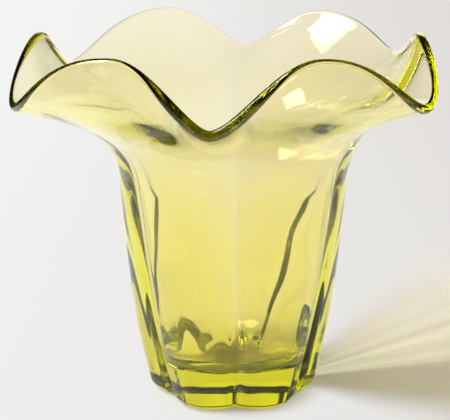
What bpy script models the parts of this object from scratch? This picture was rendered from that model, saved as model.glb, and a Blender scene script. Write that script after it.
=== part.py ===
"""Crimped vase of pressed glass: six lobed body, solid base, flared and waved rim.

Metres, +Z up. The origin is the middle of the flat underside. The front of the
vase, where the lowest wave of the rim sits, faces -Y.
"""

import math

import bpy
import bmesh
from mathutils import Vector

# Lobed body. Radii are over the crowns of the lobes.
LOBE_COUNT = 6
BODY_TURN = math.radians(1.8)
FOOT_RADIUS = 0.0291
LOWER_BODY_RADIUS = 0.0342
LOWER_BODY_HEIGHT = 0.0252
MIDDLE_BODY_RADIUS = 0.0375
MIDDLE_BODY_HEIGHT = 0.0520
NECK_RADIUS = 0.0397
NECK_HEIGHT = 0.0780
FOOT_CORNER_RADIUS = 0.0032

# Grooves between the lobes, each a broad hollow with a narrow notch along its middle.
# Depths are shares of the radius at the foot, and both fade out at the end height.
GROOVE_DEPTH_SHARE = 0.115
NOTCH_DEPTH_SHARE = 0.060
NOTCH_NARROWNESS = 20.0
GROOVE_END_HEIGHT = 0.111
GROOVE_FADE_POWER = 1.35

# Round cavity inside the body.
BASE_THICKNESS = 0.0125
CAVITY_FLOOR_RADIUS = 0.0215
CAVITY_MIDDLE_RADIUS = 0.0290
CAVITY_NECK_RADIUS = 0.0342
CAVITY_CORNER_RADIUS = 0.0080

# Rim. Each row is one turning point of the wavy edge, going round from the front
# towards +X: bearing in degrees, radius and height of the middle of the edge, and
# the slope of the wall above the horizontal where it ends there, in degrees.
RIM_THICKNESS = 0.0034
FRONT_DIP = (-4.0, 0.0710, 0.1057, 14.0)
FRONT_RIGHT_CREST = (21.0, 0.0766, 0.1270, 76.0)
RIGHT_FRONT_DIP = (59.0, 0.0736, 0.1080, 14.0)
RIGHT_CREST = (92.0, 0.0660, 0.1250, 76.0)
RIGHT_BACK_DIP = (117.0, 0.0680, 0.1150, 38.0)
BACK_RIGHT_CREST = (152.0, 0.0766, 0.1256, 70.0)
BACK_DIP = (174.0, 0.0700, 0.1118, 28.0)
BACK_LEFT_CREST = (197.5, 0.0790, 0.1257, 70.0)
LEFT_BACK_DIP = (236.0, 0.0695, 0.1102, 28.0)
LEFT_CREST = (259.0, 0.0668, 0.1239, 76.0)
LEFT_FRONT_DIP = (290.0, 0.0732, 0.1062, 14.0)
FRONT_LEFT_CREST = (335.0, 0.0781, 0.1270, 82.0)
RIM_SHIFT_X = -0.0022
# Below one, the crests of the rim are broader than its dips.
CREST_BREADTH_POWER = 0.84

# Flare between the neck and the rim: how far each end holds its own direction, as
# shares of the straight distance, and where the wall has turned square to the flare.
NECK_PULL_SHARE = 0.42
EDGE_PULL_SHARE = 0.42
NECK_BLEND_SHARE = 0.4

# Fineness of the mesh.
COLUMNS = 120
BODY_ROWS = 11
FLARE_ROWS = 9
EDGE_ROWS = 5
CAVITY_ROWS = 7
CORNER_ROWS = 4
# Small steps between which the slopes of the walls are measured.
BEARING_STEP = math.radians(0.5)
HEIGHT_STEP = 0.001

GLASS_COLOUR = (0.80, 0.78, 0.18, 1.0)
GLASS_INDEX = 1.5
GLASS_ROUGHNESS = 0.03


def clear_scene():
    for item in list(bpy.data.objects):
        bpy.data.objects.remove(item, do_unlink=True)


def curve_through(stations, position):
    """Smooth curve through (position, value) stations, straight at both ends."""
    places = [station[0] for station in stations]
    values = [station[1] for station in stations]
    last = len(stations) - 1
    steps = [(values[i + 1] - values[i]) / (places[i + 1] - places[i]) for i in range(last)]
    slopes = [steps[0]]
    slopes += [(steps[i - 1] + steps[i]) / 2 for i in range(1, last)]
    slopes.append(steps[-1])
    if position <= places[0]:
        return values[0] + slopes[0] * (position - places[0])
    if position >= places[last]:
        return values[last] + slopes[last] * (position - places[last])
    span = max(i for i in range(last) if places[i] <= position)
    width = places[span + 1] - places[span]
    t = (position - places[span]) / width
    start_share = 2 * t ** 3 - 3 * t ** 2 + 1
    end_share = 1 - start_share
    start_slope_share = (t ** 3 - 2 * t ** 2 + t) * width
    end_slope_share = (t ** 3 - t ** 2) * width
    return (start_share * values[span] + end_share * values[span + 1]
            + start_slope_share * slopes[span] + end_slope_share * slopes[span + 1])


def lobe_radius(height):
    stations = [(0.0, FOOT_RADIUS), (LOWER_BODY_HEIGHT, LOWER_BODY_RADIUS),
                (MIDDLE_BODY_HEIGHT, MIDDLE_BODY_RADIUS), (NECK_HEIGHT, NECK_RADIUS)]
    return curve_through(stations, height)


def cavity_radius(height):
    stations = [(BASE_THICKNESS, CAVITY_FLOOR_RADIUS), (MIDDLE_BODY_HEIGHT, CAVITY_MIDDLE_RADIUS),
                (NECK_HEIGHT, CAVITY_NECK_RADIUS)]
    return curve_through(stations, height)


def outer_radius(bearing, height):
    """Radius of the lobed outer wall. One groove stands at the front."""
    fade = max(0.0, 1.0 - height / GROOVE_END_HEIGHT) ** GROOVE_FADE_POWER
    wave = (1 + math.cos(LOBE_COUNT * (bearing - BODY_TURN))) / 2
    depth = GROOVE_DEPTH_SHARE * wave + NOTCH_DEPTH_SHARE * wave ** NOTCH_NARROWNESS
    return lobe_radius(height) * (1 - fade * depth)


def on_bearing(bearing, radius, height):
    return Vector((radius * math.sin(bearing), -radius * math.cos(bearing), height))


def rim_points():
    """Turning points of the rim in order, with their angles in radians."""
    rows = [FRONT_DIP, FRONT_RIGHT_CREST, RIGHT_FRONT_DIP, RIGHT_CREST, RIGHT_BACK_DIP,
            BACK_RIGHT_CREST, BACK_DIP, BACK_LEFT_CREST, LEFT_BACK_DIP, LEFT_CREST,
            LEFT_FRONT_DIP, FRONT_LEFT_CREST]
    return [(math.radians(row[0]), row[1], row[2], math.radians(row[3])) for row in rows]


def rim_at(bearing):
    """Middle of the rim edge and the direction in which the wall reaches it."""
    points = rim_points()
    full = 2 * math.pi
    turn = (bearing - points[0][0]) % full + points[0][0]
    closed = points + [(points[0][0] + full,) + points[0][1:]]
    span = max(i for i in range(len(points)) if closed[i][0] <= turn)
    start = closed[span]
    end = closed[span + 1]
    share = (turn - start[0]) / (end[0] - start[0])
    if start[2] < end[2]:
        dip, crest = start, end
    else:
        dip, crest = end, start
        share = 1 - share
    eased = ((1 - math.cos(math.pi * share)) / 2) ** CREST_BREADTH_POWER
    radius, height, slope = [dip[k] + (crest[k] - dip[k]) * eased for k in (1, 2, 3)]
    middle = on_bearing(bearing, radius, height) + Vector((RIM_SHIFT_X, 0.0, 0.0))
    return middle, on_bearing(bearing, math.cos(slope), math.sin(slope))


def wall_way(bearing, radius_at, height):
    """Direction in which a wall climbs at a height."""
    way = on_bearing(bearing, radius_at(height + HEIGHT_STEP), height + HEIGHT_STEP)
    way -= on_bearing(bearing, radius_at(height), height)
    return way.normalized()


def flare_middle(bearing):
    """Middle line of the flared wall, a cubic from the neck to the rim."""
    def outside(height):
        return outer_radius(bearing, height)

    neck_radius = (outside(NECK_HEIGHT) + cavity_radius(NECK_HEIGHT)) / 2
    start = on_bearing(bearing, neck_radius, NECK_HEIGHT)
    start_way = wall_way(bearing, outside, NECK_HEIGHT) + wall_way(bearing, cavity_radius, NECK_HEIGHT)
    end, end_way = rim_at(bearing)
    length = (end - start).length
    first = start + start_way.normalized() * (length * NECK_PULL_SHARE)
    second = end - end_way * (length * EDGE_PULL_SHARE)
    line = []
    for i in range(FLARE_ROWS + 1):
        t = i / FLARE_ROWS
        u = 1 - t
        line.append(start * u ** 3 + first * (3 * t * u ** 2) + second * (3 * t ** 2 * u) + end * t ** 3)
    return line


def flare_points(bearing):
    """Points of one section up the outside of the flare, round the edge and down the inside."""
    line = flare_middle(bearing)
    before = flare_middle(bearing - BEARING_STEP)
    after = flare_middle(bearing + BEARING_STEP)
    level = on_bearing(bearing, 1.0, 0.0)
    neck_half = (outer_radius(bearing, NECK_HEIGHT) - cavity_radius(NECK_HEIGHT)) / 2
    rim_half = RIM_THICKNESS / 2
    outside = []
    inside = []
    for i in range(1, FLARE_ROWS):
        share = i / FLARE_ROWS
        square = (after[i] - before[i]).cross(line[i + 1] - line[i - 1]).normalized()
        turned = min(1.0, share / NECK_BLEND_SHARE)
        way = (level * (1 - turned) + square * turned).normalized()
        half = neck_half + (rim_half - neck_half) * share
        outside.append(line[i] + way * half)
        inside.append(line[i] - way * half)
    along = (after[-1] - before[-1]).normalized()
    square = along.cross(rim_at(bearing)[1]).normalized()
    outward = square.cross(along)
    edge = []
    for i in range(EDGE_ROWS + 1):
        angle = math.pi * i / EDGE_ROWS
        edge.append(line[-1] + square * (rim_half * math.cos(angle)) + outward * (rim_half * math.sin(angle)))
    return outside + edge + inside[::-1]


def column_points(bearing):
    """One section of the vase, from the edge of the flat foot over the rim to the cavity floor."""
    column = []
    for i in range(CORNER_ROWS + 1):
        angle = math.pi / 2 * i / CORNER_ROWS
        height = FOOT_CORNER_RADIUS * (1 - math.cos(angle))
        radius = outer_radius(bearing, height) - FOOT_CORNER_RADIUS * (1 - math.sin(angle))
        column.append(on_bearing(bearing, radius, height))
    for i in range(1, BODY_ROWS + 1):
        height = FOOT_CORNER_RADIUS + (NECK_HEIGHT - FOOT_CORNER_RADIUS) * i / BODY_ROWS
        column.append(on_bearing(bearing, outer_radius(bearing, height), height))
    column += flare_points(bearing)
    corner_top = BASE_THICKNESS + CAVITY_CORNER_RADIUS
    for i in range(CAVITY_ROWS + 1):
        height = NECK_HEIGHT - (NECK_HEIGHT - corner_top) * i / CAVITY_ROWS
        column.append(on_bearing(bearing, cavity_radius(height), height))
    for i in range(1, CORNER_ROWS + 1):
        angle = math.pi / 2 * i / CORNER_ROWS
        height = corner_top - CAVITY_CORNER_RADIUS * math.sin(angle)
        radius = cavity_radius(height) - CAVITY_CORNER_RADIUS * (1 - math.cos(angle))
        column.append(on_bearing(bearing, radius, height))
    return column


def build_vase():
    mesh = bpy.data.meshes.new("vase")
    shape = bmesh.new()
    columns = []
    for i in range(COLUMNS):
        bearing = BODY_TURN + 2 * math.pi * i / COLUMNS
        columns.append([shape.verts.new(point) for point in column_points(bearing)])
    foot_middle = shape.verts.new((0.0, 0.0, 0.0))
    floor_middle = shape.verts.new((0.0, 0.0, BASE_THICKNESS))
    for i in range(COLUMNS):
        here = columns[i]
        there = columns[(i + 1) % COLUMNS]
        shape.faces.new((foot_middle, there[0], here[0]))
        for row in range(len(here) - 1):
            shape.faces.new((here[row], there[row], there[row + 1], here[row + 1]))
        shape.faces.new((floor_middle, here[-1], there[-1]))
    bmesh.ops.recalc_face_normals(shape, faces=shape.faces[:])
    for face in shape.faces:
        face.smooth = True
    shape.to_mesh(mesh)
    shape.free()
    vase = bpy.data.objects.new("vase", mesh)
    bpy.context.scene.collection.objects.link(vase)
    return vase


def glass_material():
    material = bpy.data.materials.new("glass")
    material.use_nodes = True
    shader = material.node_tree.nodes["Principled BSDF"]
    shader.inputs["Base Color"].default_value = GLASS_COLOUR
    shader.inputs["Roughness"].default_value = GLASS_ROUGHNESS
    shader.inputs["IOR"].default_value = GLASS_INDEX
    shader.inputs["Transmission Weight"].default_value = 1.0
    return material


clear_scene()
vase_object = build_vase()
vase_object.data.materials.append(glass_material())
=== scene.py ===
"""Looks of a crimped vase in transparent yellow glass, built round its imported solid.

Metres, +Z up. The front of the vase, where the lowest wave of the rim sits, faces -Y.
"""

import math

import bpy
import numpy as np
from mathutils import Euler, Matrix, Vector


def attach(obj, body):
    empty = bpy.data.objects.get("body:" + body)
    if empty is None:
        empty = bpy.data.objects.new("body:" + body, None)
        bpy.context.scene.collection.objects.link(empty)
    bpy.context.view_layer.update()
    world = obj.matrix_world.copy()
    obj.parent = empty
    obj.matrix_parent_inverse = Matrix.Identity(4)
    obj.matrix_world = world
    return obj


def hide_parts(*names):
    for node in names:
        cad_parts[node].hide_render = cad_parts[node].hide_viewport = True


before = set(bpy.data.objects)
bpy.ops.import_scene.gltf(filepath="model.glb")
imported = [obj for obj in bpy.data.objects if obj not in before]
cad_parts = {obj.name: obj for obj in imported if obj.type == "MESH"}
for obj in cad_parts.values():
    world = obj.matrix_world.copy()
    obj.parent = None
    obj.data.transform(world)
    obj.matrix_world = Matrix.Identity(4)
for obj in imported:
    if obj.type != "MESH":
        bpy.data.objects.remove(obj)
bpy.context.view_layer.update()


# The vase. One gob of clear yellow glass, pressed between a six lobed mould and a round
# plunger, which leaves a thick base. While it was hot its lip was opened out, crimped
# into twelve turns of wave by hand, and polished in the flame.
LOBE_COUNT = 6
BODY_TURN = math.radians(1.8)
NECK_HEIGHT = 0.0780
BASE_THICKNESS = 0.0125
FOOT_CORNER_RADIUS = 0.0032
CAVITY_CORNER_RADIUS = 0.0080
LOBE_STATIONS = [(0.0, 0.0291), (0.0252, 0.0342), (0.0520, 0.0375), (NECK_HEIGHT, 0.0397)]
CAVITY_STATIONS = [(BASE_THICKNESS, 0.0215), (0.0520, 0.0290), (NECK_HEIGHT, 0.0342)]

# Grooves between the lobes, as shares of the radius at the foot.
GROOVE_DEPTH_SHARE = 0.115
NOTCH_DEPTH_SHARE = 0.060
NOTCH_NARROWNESS = 20.0
GROOVE_END_HEIGHT = 0.111
GROOVE_FADE_POWER = 1.35

# Turning points of the rim from the front towards +X: bearing in degrees, radius,
# height, and the slope of the wall above the horizontal, in degrees.
RIM_POINTS = [
    (-4.0, 0.0710, 0.1057, 14.0),
    (21.0, 0.0766, 0.1270, 76.0),
    (59.0, 0.0736, 0.1080, 14.0),
    (92.0, 0.0660, 0.1250, 76.0),
    (117.0, 0.0680, 0.1150, 38.0),
    (152.0, 0.0766, 0.1256, 70.0),
    (174.0, 0.0700, 0.1118, 28.0),
    (197.5, 0.0790, 0.1257, 70.0),
    (236.0, 0.0695, 0.1102, 28.0),
    (259.0, 0.0668, 0.1239, 76.0),
    (290.0, 0.0732, 0.1062, 14.0),
    (335.0, 0.0781, 0.1270, 82.0),
]
RIM_SHIFT_X = -0.0022
# The flame draws the edge in a little on its way.
RIM_DRAW = 0.00012
RIM_THICKNESS = 0.0034
CREST_BREADTH_POWER = 0.84
FLARE_PULL_SHARE = 0.42
NECK_BLEND_SHARE = 0.4

COLUMNS = 384
DISC_ROWS = 10
CORNER_ROWS = 10
BODY_ROWS = 52
FLARE_ROWS = 48
EDGE_ROWS = 14
CAVITY_ROWS = 44
BEARING_STEP = math.radians(0.5)
HEIGHT_STEP = 0.001


def around(bearings, radii, heights):
    """Points at bearings that count from the front, -Y, towards +X."""
    level = np.zeros_like(bearings)
    return np.stack([radii * np.sin(bearings), -radii * np.cos(bearings), heights + level], axis=-1)


def unit(vectors):
    return vectors / np.linalg.norm(vectors, axis=-1, keepdims=True)


def smooth_line(stations, place):
    """Value at a place on the smooth curve through (place, value) stations."""
    places, values = np.array(stations).T
    widths = np.diff(places)
    steps = np.diff(values) / widths
    slopes = np.concatenate([steps[:1], (steps[:-1] + steps[1:]) / 2, steps[-1:]])
    span = int(np.clip(np.searchsorted(places, place, side="right") - 1, 0, len(steps) - 1))
    t = (place - places[span]) / widths[span]
    if t < 0:
        return values[0] + slopes[0] * (place - places[0])
    if t > 1:
        return values[-1] + slopes[-1] * (place - places[-1])
    end_share = 3 * t ** 2 - 2 * t ** 3
    bend = (t ** 3 - 2 * t ** 2 + t) * slopes[span] + (t ** 3 - t ** 2) * slopes[span + 1]
    return values[span] * (1 - end_share) + values[span + 1] * end_share + bend * widths[span]


def mould_radius(height, depth):
    """Radius of the outer wall with a groove of that depth, a share of the foot's radius."""
    fade = max(0.0, 1.0 - height / GROOVE_END_HEIGHT) ** GROOVE_FADE_POWER
    return smooth_line(LOBE_STATIONS, height) * (1 - fade * depth)


def plunger_radius(height):
    return smooth_line(CAVITY_STATIONS, height)


def rim_at(bearings):
    """Middle of the rim's edge, and the direction in which the wall reaches it."""
    rows = np.array(RIM_POINTS)
    turns = np.radians(np.append(rows[:, 0], rows[0, 0] + 360))
    turned = (bearings - turns[0]) % (2 * math.pi) + turns[0]
    span = np.clip(np.searchsorted(turns, turned, side="right") - 1, 0, len(rows) - 1)
    share = (turned - turns[span]) / (turns[span + 1] - turns[span])
    start = rows[span, 1:]
    end = rows[(span + 1) % len(rows), 1:]
    rising = start[:, 1] < end[:, 1]
    dip = np.where(rising[:, None], start, end)
    crest = np.where(rising[:, None], end, start)
    share = np.where(rising, share, 1 - share)
    eased = ((1 - np.cos(math.pi * share)) / 2) ** CREST_BREADTH_POWER
    radius, height, slope = (dip + (crest - dip) * eased[:, None]).T
    slope = np.radians(slope)
    middle = around(bearings, radius - RIM_DRAW, height - RIM_DRAW)
    middle = middle + np.array([RIM_SHIFT_X, 0.0, 0.0])
    return middle, around(bearings, np.cos(slope), np.sin(slope))


def wall_way(bearings, radius_at):
    """Direction in which a wall climbs at the neck."""
    over = around(bearings, radius_at(NECK_HEIGHT + HEIGHT_STEP), NECK_HEIGHT + HEIGHT_STEP)
    return unit(over - around(bearings, radius_at(NECK_HEIGHT), NECK_HEIGHT))


def flare_middle(bearings, depth):
    """Middle of the flared wall in rows from the neck to the rim."""
    def outside(height):
        return mould_radius(height, depth)

    neck_radius = (outside(NECK_HEIGHT) + plunger_radius(NECK_HEIGHT)) / 2
    start = around(bearings, neck_radius, NECK_HEIGHT)
    start_way = unit(wall_way(bearings, outside) + wall_way(bearings, plunger_radius))
    end, end_way = rim_at(bearings)
    pull = np.linalg.norm(end - start, axis=-1, keepdims=True) * FLARE_PULL_SHARE
    t = np.linspace(0, 1, FLARE_ROWS + 1)[:, None, None]
    u = 1 - t
    return (start * u ** 3 + (start + start_way * pull) * (3 * t * u ** 2)
            + (end - end_way * pull) * (3 * t ** 2 * u) + end * t ** 3)


def wall_rows(bearings, depth):
    """The wall in rows of points, from the middle of the foot to that of the cavity's floor."""
    rows = []
    foot_radius = mould_radius(0.0, depth) - FOOT_CORNER_RADIUS
    for i in range(1, DISC_ROWS):
        rows.append(around(bearings, foot_radius * i / DISC_ROWS, 0.0))
    for i in range(CORNER_ROWS + 1):
        angle = math.pi / 2 * i / CORNER_ROWS
        height = FOOT_CORNER_RADIUS * (1 - math.cos(angle))
        radius = mould_radius(height, depth) - FOOT_CORNER_RADIUS * (1 - math.sin(angle))
        rows.append(around(bearings, radius, height))
    for i in range(1, BODY_ROWS + 1):
        height = FOOT_CORNER_RADIUS + (NECK_HEIGHT - FOOT_CORNER_RADIUS) * i / BODY_ROWS
        rows.append(around(bearings, mould_radius(height, depth), height))

    line = flare_middle(bearings, depth)
    before = flare_middle(bearings - BEARING_STEP, depth)
    after = flare_middle(bearings + BEARING_STEP, depth)
    level = around(bearings, 1.0, 0.0)
    neck_half = (mould_radius(NECK_HEIGHT, depth) - plunger_radius(NECK_HEIGHT)) / 2
    rim_half = RIM_THICKNESS / 2
    inside = []
    for i in range(1, FLARE_ROWS):
        share = i / FLARE_ROWS
        square = unit(np.cross(after[i] - before[i], line[i + 1] - line[i - 1]))
        turned = min(1.0, share / NECK_BLEND_SHARE)
        way = unit(level * (1 - turned) + square * turned)
        half = neck_half + (rim_half - neck_half) * share
        rows.append(line[i] + way * half)
        inside.append(line[i] - way * half)
    along = unit(after[-1] - before[-1])
    square = unit(np.cross(along, rim_at(bearings)[1]))
    outward = np.cross(square, along)
    for i in range(EDGE_ROWS + 1):
        angle = math.pi * i / EDGE_ROWS
        bead = square * (rim_half * math.cos(angle)) + outward * (rim_half * math.sin(angle))
        rows.append(line[-1] + bead)
    rows += inside[::-1]

    corner_top = BASE_THICKNESS + CAVITY_CORNER_RADIUS
    for i in range(CAVITY_ROWS + 1):
        height = NECK_HEIGHT - (NECK_HEIGHT - corner_top) * i / CAVITY_ROWS
        rows.append(around(bearings, plunger_radius(height), height))
    for i in range(1, CORNER_ROWS + 1):
        angle = math.pi / 2 * i / CORNER_ROWS
        height = corner_top - CAVITY_CORNER_RADIUS * math.sin(angle)
        radius = plunger_radius(height) - CAVITY_CORNER_RADIUS * (1 - math.cos(angle))
        rows.append(around(bearings, radius, height))
    floor_radius = plunger_radius(BASE_THICKNESS) - CAVITY_CORNER_RADIUS
    for i in range(DISC_ROWS - 1, 0, -1):
        rows.append(around(bearings, floor_radius * i / DISC_ROWS, BASE_THICKNESS))
    return np.array(rows)


def round_blank(bearings, material):
    """The wall without its grooves, with how far each point gives way to the mould's ribs."""
    full_depth = GROOVE_DEPTH_SHARE + NOTCH_DEPTH_SHARE
    plain = wall_rows(bearings, 0.0)
    press = (wall_rows(bearings, full_depth) - plain) / full_depth
    row_count, column_count = plain.shape[:2]
    middles = np.array([[0.0, 0.0, 0.0], [0.0, 0.0, BASE_THICKNESS]])
    points = np.concatenate([plain.reshape(-1, 3), middles])
    pressed = np.concatenate([press.reshape(-1, 3), np.zeros((2, 3))])
    first_middle = row_count * column_count
    last_row = first_middle - column_count
    faces = []
    for i in range(column_count):
        j = (i + 1) % column_count
        faces.append((first_middle, j, i))
        for row in range(0, last_row, column_count):
            faces.append((row + i, row + j, row + column_count + j, row + column_count + i))
        faces.append((first_middle + 1, last_row + i, last_row + j))
    mesh = bpy.data.meshes.new("round_blank")
    mesh.from_pydata(points.tolist(), [], faces)
    press_data = mesh.attributes.new("press", "FLOAT_VECTOR", "POINT").data
    press_data.foreach_set("vector", pressed.ravel())
    mesh.materials.append(material)
    mesh.shade_smooth()
    blank = bpy.data.objects.new("round_blank", mesh)
    bpy.context.scene.collection.objects.link(blank)
    return blank


def linked_node(tree, kind, values, **settings):
    """A node with its settings, and its inputs linked or set in order. None leaves one as it is."""
    node = tree.nodes.new(kind)
    for name, value in settings.items():
        setattr(node, name, value)
    for socket, value in zip(node.inputs, values):
        if isinstance(value, bpy.types.NodeSocket):
            tree.links.new(value, socket)
        elif value is not None:
            socket.default_value = value
    return node


def mould_tree():
    """Presses lobes round a blank, with a notch in each groove, and makes its skin wavy."""
    tree = bpy.data.node_groups.new("lobed_mould", "GeometryNodeTree")
    face = tree.interface
    face.new_socket("Blank", in_out="INPUT", socket_type="NodeSocketGeometry")
    for name in ("Lobe Count", "Turn", "Groove Depth", "Notch Depth", "Notch Narrowness",
                 "Ripple Height", "Ripples per Metre", "Chill Height", "Chills per Metre",
                 "Ripple Seed"):
        face.new_socket(name, in_out="INPUT", socket_type="NodeSocketFloat")
    face.new_socket("Glass", in_out="INPUT", socket_type="NodeSocketMaterial")
    face.new_socket("Vase", in_out="OUTPUT", socket_type="NodeSocketGeometry")
    given = tree.nodes.new("NodeGroupInput").outputs

    def calculate(operation, *values):
        return linked_node(tree, "ShaderNodeMath", values, operation=operation).outputs[0]

    def vectors(operation, *values):
        return linked_node(tree, "ShaderNodeVectorMath", values, operation=operation)

    position = tree.nodes.new("GeometryNodeInputPosition").outputs[0]
    place = linked_node(tree, "ShaderNodeSeparateXYZ", [position]).outputs
    bearing = calculate("ARCTAN2", place["X"], calculate("MULTIPLY", place["Y"], -1.0))
    turned = calculate("MULTIPLY", calculate("SUBTRACT", bearing, given["Turn"]),
                       given["Lobe Count"])
    wave = calculate("MULTIPLY", calculate("ADD", calculate("COSINE", turned), 1.0), 0.5)
    groove = calculate("MULTIPLY", wave, given["Groove Depth"])
    notch = calculate("MULTIPLY", calculate("POWER", wave, given["Notch Narrowness"]),
                      given["Notch Depth"])
    press = linked_node(tree, "GeometryNodeInputNamedAttribute", ["press"],
                        data_type="FLOAT_VECTOR").outputs["Attribute"]
    pushed = vectors("SCALE", press)
    tree.links.new(calculate("ADD", groove, notch), pushed.inputs["Scale"])

    def wave_over(name, per_metre, full_height):
        """Swells of the skin where the named attribute is one, up to half the height each way."""
        noise = tree.nodes.new("ShaderNodeTexNoise")
        noise.noise_dimensions = "4D"
        noise.inputs["Detail"].default_value = 0.0
        tree.links.new(position, noise.inputs["Vector"])
        tree.links.new(given["Ripple Seed"], noise.inputs["W"])
        tree.links.new(given[per_metre], noise.inputs["Scale"])
        reach = linked_node(tree, "GeometryNodeInputNamedAttribute", [name],
                            data_type="FLOAT").outputs["Attribute"]
        swing = calculate("MULTIPLY", calculate("SUBTRACT", noise.outputs[0], 0.5), reach)
        return calculate("MULTIPLY", swing, given[full_height])

    height = calculate("ADD", wave_over("ripple", "Ripples per Metre", "Ripple Height"),
                       wave_over("chill", "Chills per Metre", "Chill Height"))
    normal = tree.nodes.new("GeometryNodeInputNormal").outputs[0]
    rippled = vectors("SCALE", normal)
    tree.links.new(height, rippled.inputs["Scale"])

    offset = vectors("ADD", pushed.outputs[0], rippled.outputs[0]).outputs[0]
    moved = tree.nodes.new("GeometryNodeSetPosition")
    tree.links.new(given["Blank"], moved.inputs["Geometry"])
    tree.links.new(offset, moved.inputs["Offset"])
    real = linked_node(tree, "GeometryNodeRealizeInstances", [moved.outputs[0]])
    finished = tree.nodes.new("GeometryNodeSetMaterial")
    tree.links.new(real.outputs[0], finished.inputs["Geometry"])
    tree.links.new(given["Glass"], finished.inputs["Material"])
    tree.links.new(finished.outputs[0], tree.nodes.new("NodeGroupOutput").inputs[0])
    return tree


# The glass. It absorbs (1 - colour) * density per metre, nearly all of it blue. Its
# streaks, its grain and the scuffs under the foot are noises, counted per metre.
GLASS_IOR = 1.5
GLASS_COLOUR = (0.937, 0.938, 0.062, 1.0)
GLASS_DENSITY = 100.0
STREAKS_PER_METRE = 26.0
STREAK_DETAIL = 3.0
STREAK_TINTS = [(1.0, 0.935, 0.965, 1.0), (1.0, 0.955, 1.0, 1.0)]
GRAINS_PER_METRE = 150.0
GRAIN_DETAIL = 1.0
GRAIN_STRENGTH = 0.10
GRAIN_DEPTH = 0.00003
SCUFF_TOP = 0.0008
SCUFF_FULL_HEIGHT = SCUFF_TOP / 4
SCUFF_INNER_RADIUS = 0.016
SCUFF_OUTER_RADIUS = 0.019
SCUFFS_PER_METRE = 900.0
SCUFF_DETAIL = 2.0
SCUFF_ROUGHNESS = 0.5


def pressed_glass():
    """Clear yellow glass: the colour comes from the depth of glass that light crosses."""
    material = bpy.data.materials.new("pressed_yellow_glass")
    material.use_nodes = True
    tree = material.node_tree
    shader = tree.nodes["Principled BSDF"]
    shader.inputs["IOR"].default_value = GLASS_IOR
    shader.inputs["Transmission Weight"].default_value = 1.0
    shader.inputs["Specular IOR Level"].default_value = 0.5
    body = tree.nodes.new("ShaderNodeVolumeAbsorption")
    body.inputs["Color"].default_value = GLASS_COLOUR
    body.inputs["Density"].default_value = GLASS_DENSITY
    tree.links.new(body.outputs["Volume"], tree.nodes["Material Output"].inputs["Volume"])
    place = tree.nodes.new("ShaderNodeTexCoord").outputs["Object"]

    # The melt isn't quite even, and its skin keeps a trace of the mould's grain.
    streaks = linked_node(tree, "ShaderNodeTexNoise",
                          [place, None, STREAKS_PER_METRE, STREAK_DETAIL]).outputs[0]
    tint = linked_node(tree, "ShaderNodeMixRGB", [streaks, *STREAK_TINTS]).outputs[0]
    tree.links.new(tint, shader.inputs["Base Color"])
    grain = linked_node(tree, "ShaderNodeTexNoise",
                        [place, None, GRAINS_PER_METRE, GRAIN_DETAIL]).outputs[0]
    skin = tree.nodes.new("ShaderNodeBump")
    skin.inputs["Strength"].default_value = GRAIN_STRENGTH
    skin.inputs["Distance"].default_value = GRAIN_DEPTH
    tree.links.new(grain, skin.inputs["Height"])
    tree.links.new(skin.outputs[0], shader.inputs["Normal"])

    # The underside is scuffed in a ring, where the vase stands on it.
    split = linked_node(tree, "ShaderNodeSeparateXYZ", [place]).outputs
    across = linked_node(tree, "ShaderNodeCombineXYZ", [split["X"], split["Y"]]).outputs[0]
    radius = linked_node(tree, "ShaderNodeVectorMath", [across],
                         operation="LENGTH").outputs["Value"]
    ring = linked_node(tree, "ShaderNodeMapRange", [radius, SCUFF_INNER_RADIUS, SCUFF_OUTER_RADIUS],
                       interpolation_type="SMOOTHSTEP").outputs[0]
    low = linked_node(tree, "ShaderNodeMapRange", [split["Z"], SCUFF_TOP, SCUFF_FULL_HEIGHT],
                      interpolation_type="SMOOTHSTEP").outputs[0]
    scuffs = linked_node(tree, "ShaderNodeTexNoise",
                         [place, None, SCUFFS_PER_METRE, SCUFF_DETAIL]).outputs[0]
    worn = linked_node(tree, "ShaderNodeMath", [ring, low], operation="MULTIPLY").outputs[0]
    worn = linked_node(tree, "ShaderNodeMath", [worn, scuffs], operation="MULTIPLY").outputs[0]
    rough = linked_node(tree, "ShaderNodeMath", [worn, SCUFF_ROUGHNESS],
                        operation="MULTIPLY").outputs[0]
    tree.links.new(rough, shader.inputs["Roughness"])
    return material


vase_glass = pressed_glass()
column_bearings = BODY_TURN + np.arange(COLUMNS) * (2 * math.pi / COLUMNS)
blank = round_blank(column_bearings, vase_glass)
heights = np.array([point.co.z for point in blank.data.vertices])

# The waviness dies out towards the flat foot and the flame polished edge.
RIPPLE_HEIGHT = 0.00028
RIPPLES_PER_METRE = 55.0
RIPPLE_SEED = 1.0
RIPPLE_FADE = 0.020
RIPPLE_TOP = 0.100
reach = np.clip(heights / RIPPLE_FADE, 0, 1) * np.clip((RIPPLE_TOP - heights) / RIPPLE_FADE, 0, 1)
blank.data.attributes.new("ripple", "FLOAT", "POINT").data.foreach_set("value", reach)

# The plunger and mould chill the skin low down into finer waves.
CHILL_HEIGHT = 0.00010
CHILLS_PER_METRE = 170.0
CHILL_RISE = 0.004
CHILL_FADE = 0.030
CHILL_TOP = 0.050
chill = np.clip(heights / CHILL_RISE, 0, 1) * np.clip((CHILL_TOP - heights) / CHILL_FADE, 0, 1)
blank.data.attributes.new("chill", "FLOAT", "POINT").data.foreach_set("value", chill)

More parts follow.
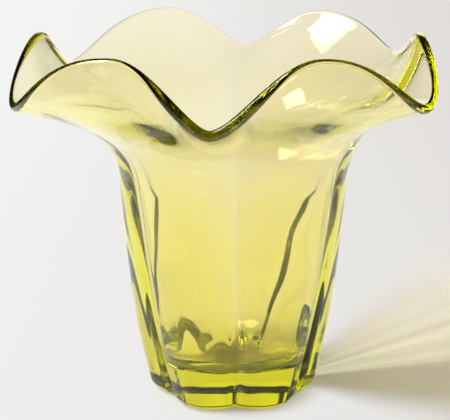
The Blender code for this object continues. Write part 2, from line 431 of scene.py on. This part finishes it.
# The mould presses the blank, and what comes out of it is the vase.
mould = blank.modifiers.new("mould", "NODES")
mould.node_group = mould_tree()
mould_values = {
    "Lobe Count": float(LOBE_COUNT),
    "Turn": BODY_TURN,
    "Groove Depth": GROOVE_DEPTH_SHARE,
    "Notch Depth": NOTCH_DEPTH_SHARE,
    "Notch Narrowness": NOTCH_NARROWNESS,
    "Ripple Height": RIPPLE_HEIGHT,
    "Ripples per Metre": RIPPLES_PER_METRE,
    "Chill Height": CHILL_HEIGHT,
    "Chills per Metre": CHILLS_PER_METRE,
    "Ripple Seed": RIPPLE_SEED,
    "Glass": vase_glass,
}
for socket in mould.node_group.interface.items_tree:
    if socket.in_out == "INPUT" and socket.name in mould_values:
        mould[socket.identifier] = mould_values[socket.name]
pressed_mesh = bpy.data.meshes.new_from_object(
    blank.evaluated_get(bpy.context.evaluated_depsgraph_get()))
pressed_mesh.name = "crimped_vase"
for name in ("press", "ripple", "chill"):
    pressed_mesh.attributes.remove(pressed_mesh.attributes[name])
bpy.data.objects.remove(blank)
vase = bpy.data.objects.new("crimped_vase", pressed_mesh)
bpy.context.scene.collection.objects.link(vase)
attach(vase, "root")
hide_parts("vase")


# The table and backdrop. One sheet of matt white card that runs level under the vase
# and curves up behind it.
TABLE_HALF_WIDTH = 4.0
# The card lies a hair below the foot, so that the two don't share a plane.
TABLE_LEVEL = -0.0002
TABLE_FRONT = -4.0
TABLE_BACK = 1.5
SWEEP_RADIUS = 0.6
SWEEP_TOP = 2.4
SWEEP_ROWS = 24
sweep_line = [(TABLE_FRONT, TABLE_LEVEL), (TABLE_BACK - SWEEP_RADIUS, TABLE_LEVEL)]
for i in range(1, SWEEP_ROWS + 1):
    angle = math.pi / 2 * i / SWEEP_ROWS
    sweep_line.append((TABLE_BACK - SWEEP_RADIUS * (1 - math.sin(angle)),
                       TABLE_LEVEL + SWEEP_RADIUS * (1 - math.cos(angle))))
sweep_line.append((TABLE_BACK, SWEEP_TOP))
sweep_points = [(x, y, z) for y, z in sweep_line for x in (-TABLE_HALF_WIDTH, TABLE_HALF_WIDTH)]
sweep_faces = [(2 * i, 2 * i + 1, 2 * i + 3, 2 * i + 2) for i in range(len(sweep_line) - 1)]
sweep_mesh = bpy.data.meshes.new("card_sweep")
sweep_mesh.from_pydata(sweep_points, [], sweep_faces)
sweep_mesh.shade_smooth()
card = bpy.data.materials.new("white_card")
card.use_nodes = True
card_tree = card.node_tree
card_shader = card_tree.nodes["Principled BSDF"]
card_place = card_tree.nodes.new("ShaderNodeTexCoord").outputs["Object"]
card_split = linked_node(card_tree, "ShaderNodeSeparateXYZ", [card_place]).outputs
card_distance = linked_node(card_tree, "ShaderNodeVectorMath", [card_place],
                            operation="LENGTH").outputs["Value"]


def card_math(operation, *values):
    return linked_node(card_tree, "ShaderNodeMath", values, operation=operation).outputs[0]


def card_ramp(value, start, end):
    """Eases from nought at the start to one at the end."""
    return linked_node(card_tree, "ShaderNodeMapRange", [value, start, end],
                       interpolation_type="SMOOTHSTEP").outputs[0]


def card_mix(share, first, second):
    return linked_node(card_tree, "ShaderNodeMixRGB", [share, first, second]).outputs[0]


# The card's faint mottling, and a painted warm shadow: the warm colour of the light that
# reaches it through the glass on the side away from the lamp, painted into the card's colour.
CARD_WHITE = (0.88, 0.88, 0.875, 1.0)
CARD_MOTTLED = (0.865, 0.865, 0.86, 1.0)
PAINTED_WARM_SHADOW = (0.88, 0.82, 0.72, 1.0)
MOTTLES_PER_METRE = 60.0
MOTTLE_DETAIL = 4.0
CARD_ROUGHNESS = 0.40
MOTTLE_ROUGHNESS = 0.12
WARM_START_X = 0.01
WARM_FULL_X = 0.05
WARM_END = 0.30
WARM_FULL = 0.08
mottling = linked_node(card_tree, "ShaderNodeTexNoise",
                       [card_place, None, MOTTLES_PER_METRE, MOTTLE_DETAIL]).outputs[0]
paper = card_mix(mottling, CARD_WHITE, CARD_MOTTLED)
# Painted warm shadow: the card's colour turns warmer to the right of the vase and near it.
warm_shadow_mask = card_math("MULTIPLY", card_ramp(card_split["X"], WARM_START_X, WARM_FULL_X),
                         card_ramp(card_distance, WARM_END, WARM_FULL))
paper = card_mix(warm_shadow_mask, paper, PAINTED_WARM_SHADOW)
card_tree.links.new(paper, card_shader.inputs["Base Color"])
card_tree.links.new(card_math("MULTIPLY_ADD", mottling, MOTTLE_ROUGHNESS, CARD_ROUGHNESS),
                    card_shader.inputs["Roughness"])

# A painted bright fan beside the vase's shadow, glowing in the card: it stands in for the light
# that the vase's curved wall gathers there. Its angles count from +X towards +Y.
FAN_ORIGIN = (0.016, 0.004)
FAN_START = math.radians(11.0)
FAN_FULL = math.radians(22.0)
FAN_FADING = math.radians(36.0)
FAN_END = math.radians(64.0)
FAN_RAYS_PER_RADIAN = 9.0
FAN_RAY_DETAIL = 1.5
FAN_RAY_DARK = 0.10
FAN_RAY_BRIGHT = 0.75
FAN_REACH = 0.26
FAN_FULL_REACH = 0.05
PAINTED_FAN_GLOW = (0.36, 0.35, 0.22, 1.0)
NO_LIGHT = (0.0, 0.0, 0.0, 1.0)
fan_x = card_math("SUBTRACT", card_split["X"], FAN_ORIGIN[0])
fan_y = card_math("SUBTRACT", card_split["Y"], FAN_ORIGIN[1])
fan_angle = card_math("ARCTAN2", fan_y, fan_x)
fan_line = linked_node(card_tree, "ShaderNodeCombineXYZ", [fan_angle]).outputs[0]
fan_rays = linked_node(card_tree, "ShaderNodeTexNoise",
                       [fan_line, None, FAN_RAYS_PER_RADIAN, FAN_RAY_DETAIL]).outputs[0]
fan = card_math("MULTIPLY", card_ramp(fan_angle, FAN_START, FAN_FULL),
                card_ramp(fan_angle, FAN_END, FAN_FADING))
fan = card_math("MULTIPLY", fan, card_ramp(fan_rays, FAN_RAY_DARK, FAN_RAY_BRIGHT))
fan = card_math("MULTIPLY", fan, card_ramp(card_distance, FAN_REACH, FAN_FULL_REACH))
# The painted fan of light glows through the card's emission.
card_tree.links.new(card_mix(fan, NO_LIGHT, PAINTED_FAN_GLOW), card_shader.inputs["Emission Color"])
card_shader.inputs["Emission Strength"].default_value = 1.0

# The vase's shadow falls to the right, between these angles about the fan's origin. Past
# it, and far from the vase, the card shows as evenly lit as the photographer's lamps make
# it, except for a small shade at the foot. Little of the shadow shows through the glass.
SHADOW_START = math.radians(-46.0)
SHADOW_FULL = math.radians(-8.0)
SHADOW_FADING = math.radians(54.0)
SHADOW_END = math.radians(70.0)
SHADOW_INNER = 0.18
SHADOW_OUTER = 0.70
CONTACT_INNER = 0.018
CONTACT_OUTER = 0.036
GLASS_SHADOW_INNER = 0.0
GLASS_SHADOW_OUTER = 0.11
ray = card_tree.nodes.new("ShaderNodeLightPath").outputs
in_glass = card_math("MAXIMUM", ray["Is Glossy Ray"], ray["Is Transmission Ray"])
shaded = card_math("MULTIPLY", card_ramp(fan_angle, SHADOW_START, SHADOW_FULL),
                   card_ramp(fan_angle, SHADOW_END, SHADOW_FADING))
beside = card_math("MULTIPLY", card_math("SUBTRACT", 1.0, shaded),
                   card_ramp(card_distance, CONTACT_INNER, CONTACT_OUTER))
away = card_math("MAXIMUM", card_ramp(card_distance, SHADOW_INNER, SHADOW_OUTER), beside)
seen_even = card_math("MULTIPLY", ray["Is Camera Ray"], away)
glass_even = card_math("MULTIPLY", in_glass,
                       card_ramp(card_distance, GLASS_SHADOW_INNER, GLASS_SHADOW_OUTER))
even = card_math("MAXIMUM", seen_even, glass_even)

# That even light is painted as a glow that falls off from left to right, and the glass takes in a
# little more of it.
LIT_LEFT = (0.90, 0.90, 0.895, 1.0)
LIT_RIGHT = (0.745, 0.716, 0.687, 1.0)
LIT_LEFT_X = -0.25
LIT_RIGHT_X = 0.30
GLASS_GAIN = 0.175
glow = card_mix(card_ramp(card_split["X"], LIT_LEFT_X, LIT_RIGHT_X), LIT_LEFT, LIT_RIGHT)
lit = linked_node(card_tree, "ShaderNodeEmission",
                  [glow, card_math("MULTIPLY_ADD", in_glass, GLASS_GAIN, 1.0)])
mixed = linked_node(card_tree, "ShaderNodeMixShader",
                    [even, card_shader.outputs[0], lit.outputs[0]])

# Past this pool the card shows a painted dark room, but only to light that has turned inside
# the glass, as if the lamps reached only this far over the card.
DARK_TURNS = 0.5
DARK_ROOM = (0.040, 0.050, 0.012, 1.0)
POOL_HALF_WIDTH = 0.33
POOL_FRONT = -0.25
POOL_TOP = 1.00
POOL_EDGE = 0.05
turned_inside = card_math("MULTIPLY", in_glass,
                          card_math("GREATER_THAN", ray["Glossy Depth"], DARK_TURNS))
off_side = card_ramp(card_math("ABSOLUTE", card_split["X"]),
                     POOL_HALF_WIDTH - POOL_EDGE, POOL_HALF_WIDTH + POOL_EDGE)
off_front = card_ramp(card_split["Y"], POOL_FRONT + POOL_EDGE, POOL_FRONT - POOL_EDGE)
off_top = card_ramp(card_split["Z"], POOL_TOP - POOL_EDGE, POOL_TOP + POOL_EDGE)
off_pool = card_math("MAXIMUM", card_math("MAXIMUM", off_side, off_front), off_top)
painted_dark_room = linked_node(card_tree, "ShaderNodeEmission", [DARK_ROOM])
mixed = linked_node(card_tree, "ShaderNodeMixShader",
                    [card_math("MULTIPLY", off_pool, turned_inside),
                     mixed.outputs[0], painted_dark_room.outputs[0]])
card_tree.links.new(mixed.outputs[0], card_tree.nodes["Material Output"].inputs["Surface"])
sweep_mesh.materials.append(card)
sweep = bpy.data.objects.new("card_sweep", sweep_mesh)
bpy.context.scene.collection.objects.link(sweep)


# The light. A large soft box at the left, a dim fill from all round, and for light that
# has turned inside the glass a dark room.
AMBIENT = (0.45, 0.435, 0.40, 1.0)
room = bpy.data.worlds.new("dim_room")
room.use_nodes = True
room_tree = room.node_tree
room_ray = room_tree.nodes.new("ShaderNodeLightPath").outputs
room_turned = linked_node(room_tree, "ShaderNodeMath", [room_ray["Glossy Depth"], DARK_TURNS],
                          operation="GREATER_THAN").outputs[0]
room_light = linked_node(room_tree, "ShaderNodeMixRGB",
                         [room_turned, AMBIENT, DARK_ROOM]).outputs[0]
room_tree.links.new(room_light, room_tree.nodes["Background"].inputs["Color"])
bpy.context.scene.world = room


def soft_box(name, place, aim, width, height, power, colour):
    box = bpy.data.lights.new(name, "AREA")
    box.shape = "RECTANGLE"
    box.size = width
    box.size_y = height
    box.energy = power
    box.color = colour
    lamp = bpy.data.objects.new(name, box)
    lamp.location = place
    lamp.rotation_euler = (Vector(aim) - Vector(place)).to_track_quat("-Z", "Y").to_euler()
    bpy.context.scene.collection.objects.link(lamp)


soft_box("window", place=(-0.93, -0.10, 0.90), aim=(0.0, 0.0, 0.06), width=0.7, height=0.8,
         power=18.0, colour=(1.0, 0.99, 0.97))

# Light runs a long way inside a bright wall before it leaves, so it may turn often.
paths = bpy.context.scene.cycles
paths.max_bounces = 32
paths.transmission_bounces = 32
paths.glossy_bounces = 24


# The camera. It stands in front of the vase and looks a little down on it, as in the
# photograph.
CAMERA_PLACE = (0.0, -0.466, 0.187)
CAMERA_TILT = math.radians(75.31)
CAMERA_PAN = math.radians(0.35)
camera_data = bpy.data.cameras.new("camera")
camera_data.sensor_width = 36.0
camera_data.lens = 110.0
camera = bpy.data.objects.new("camera", camera_data)
camera.location = CAMERA_PLACE
camera.rotation_euler = Euler((CAMERA_TILT, 0.0, CAMERA_PAN))
bpy.context.scene.collection.objects.link(camera)
bpy.context.scene.camera = camera
bpy.context.scene.view_settings.view_transform = "Standard"
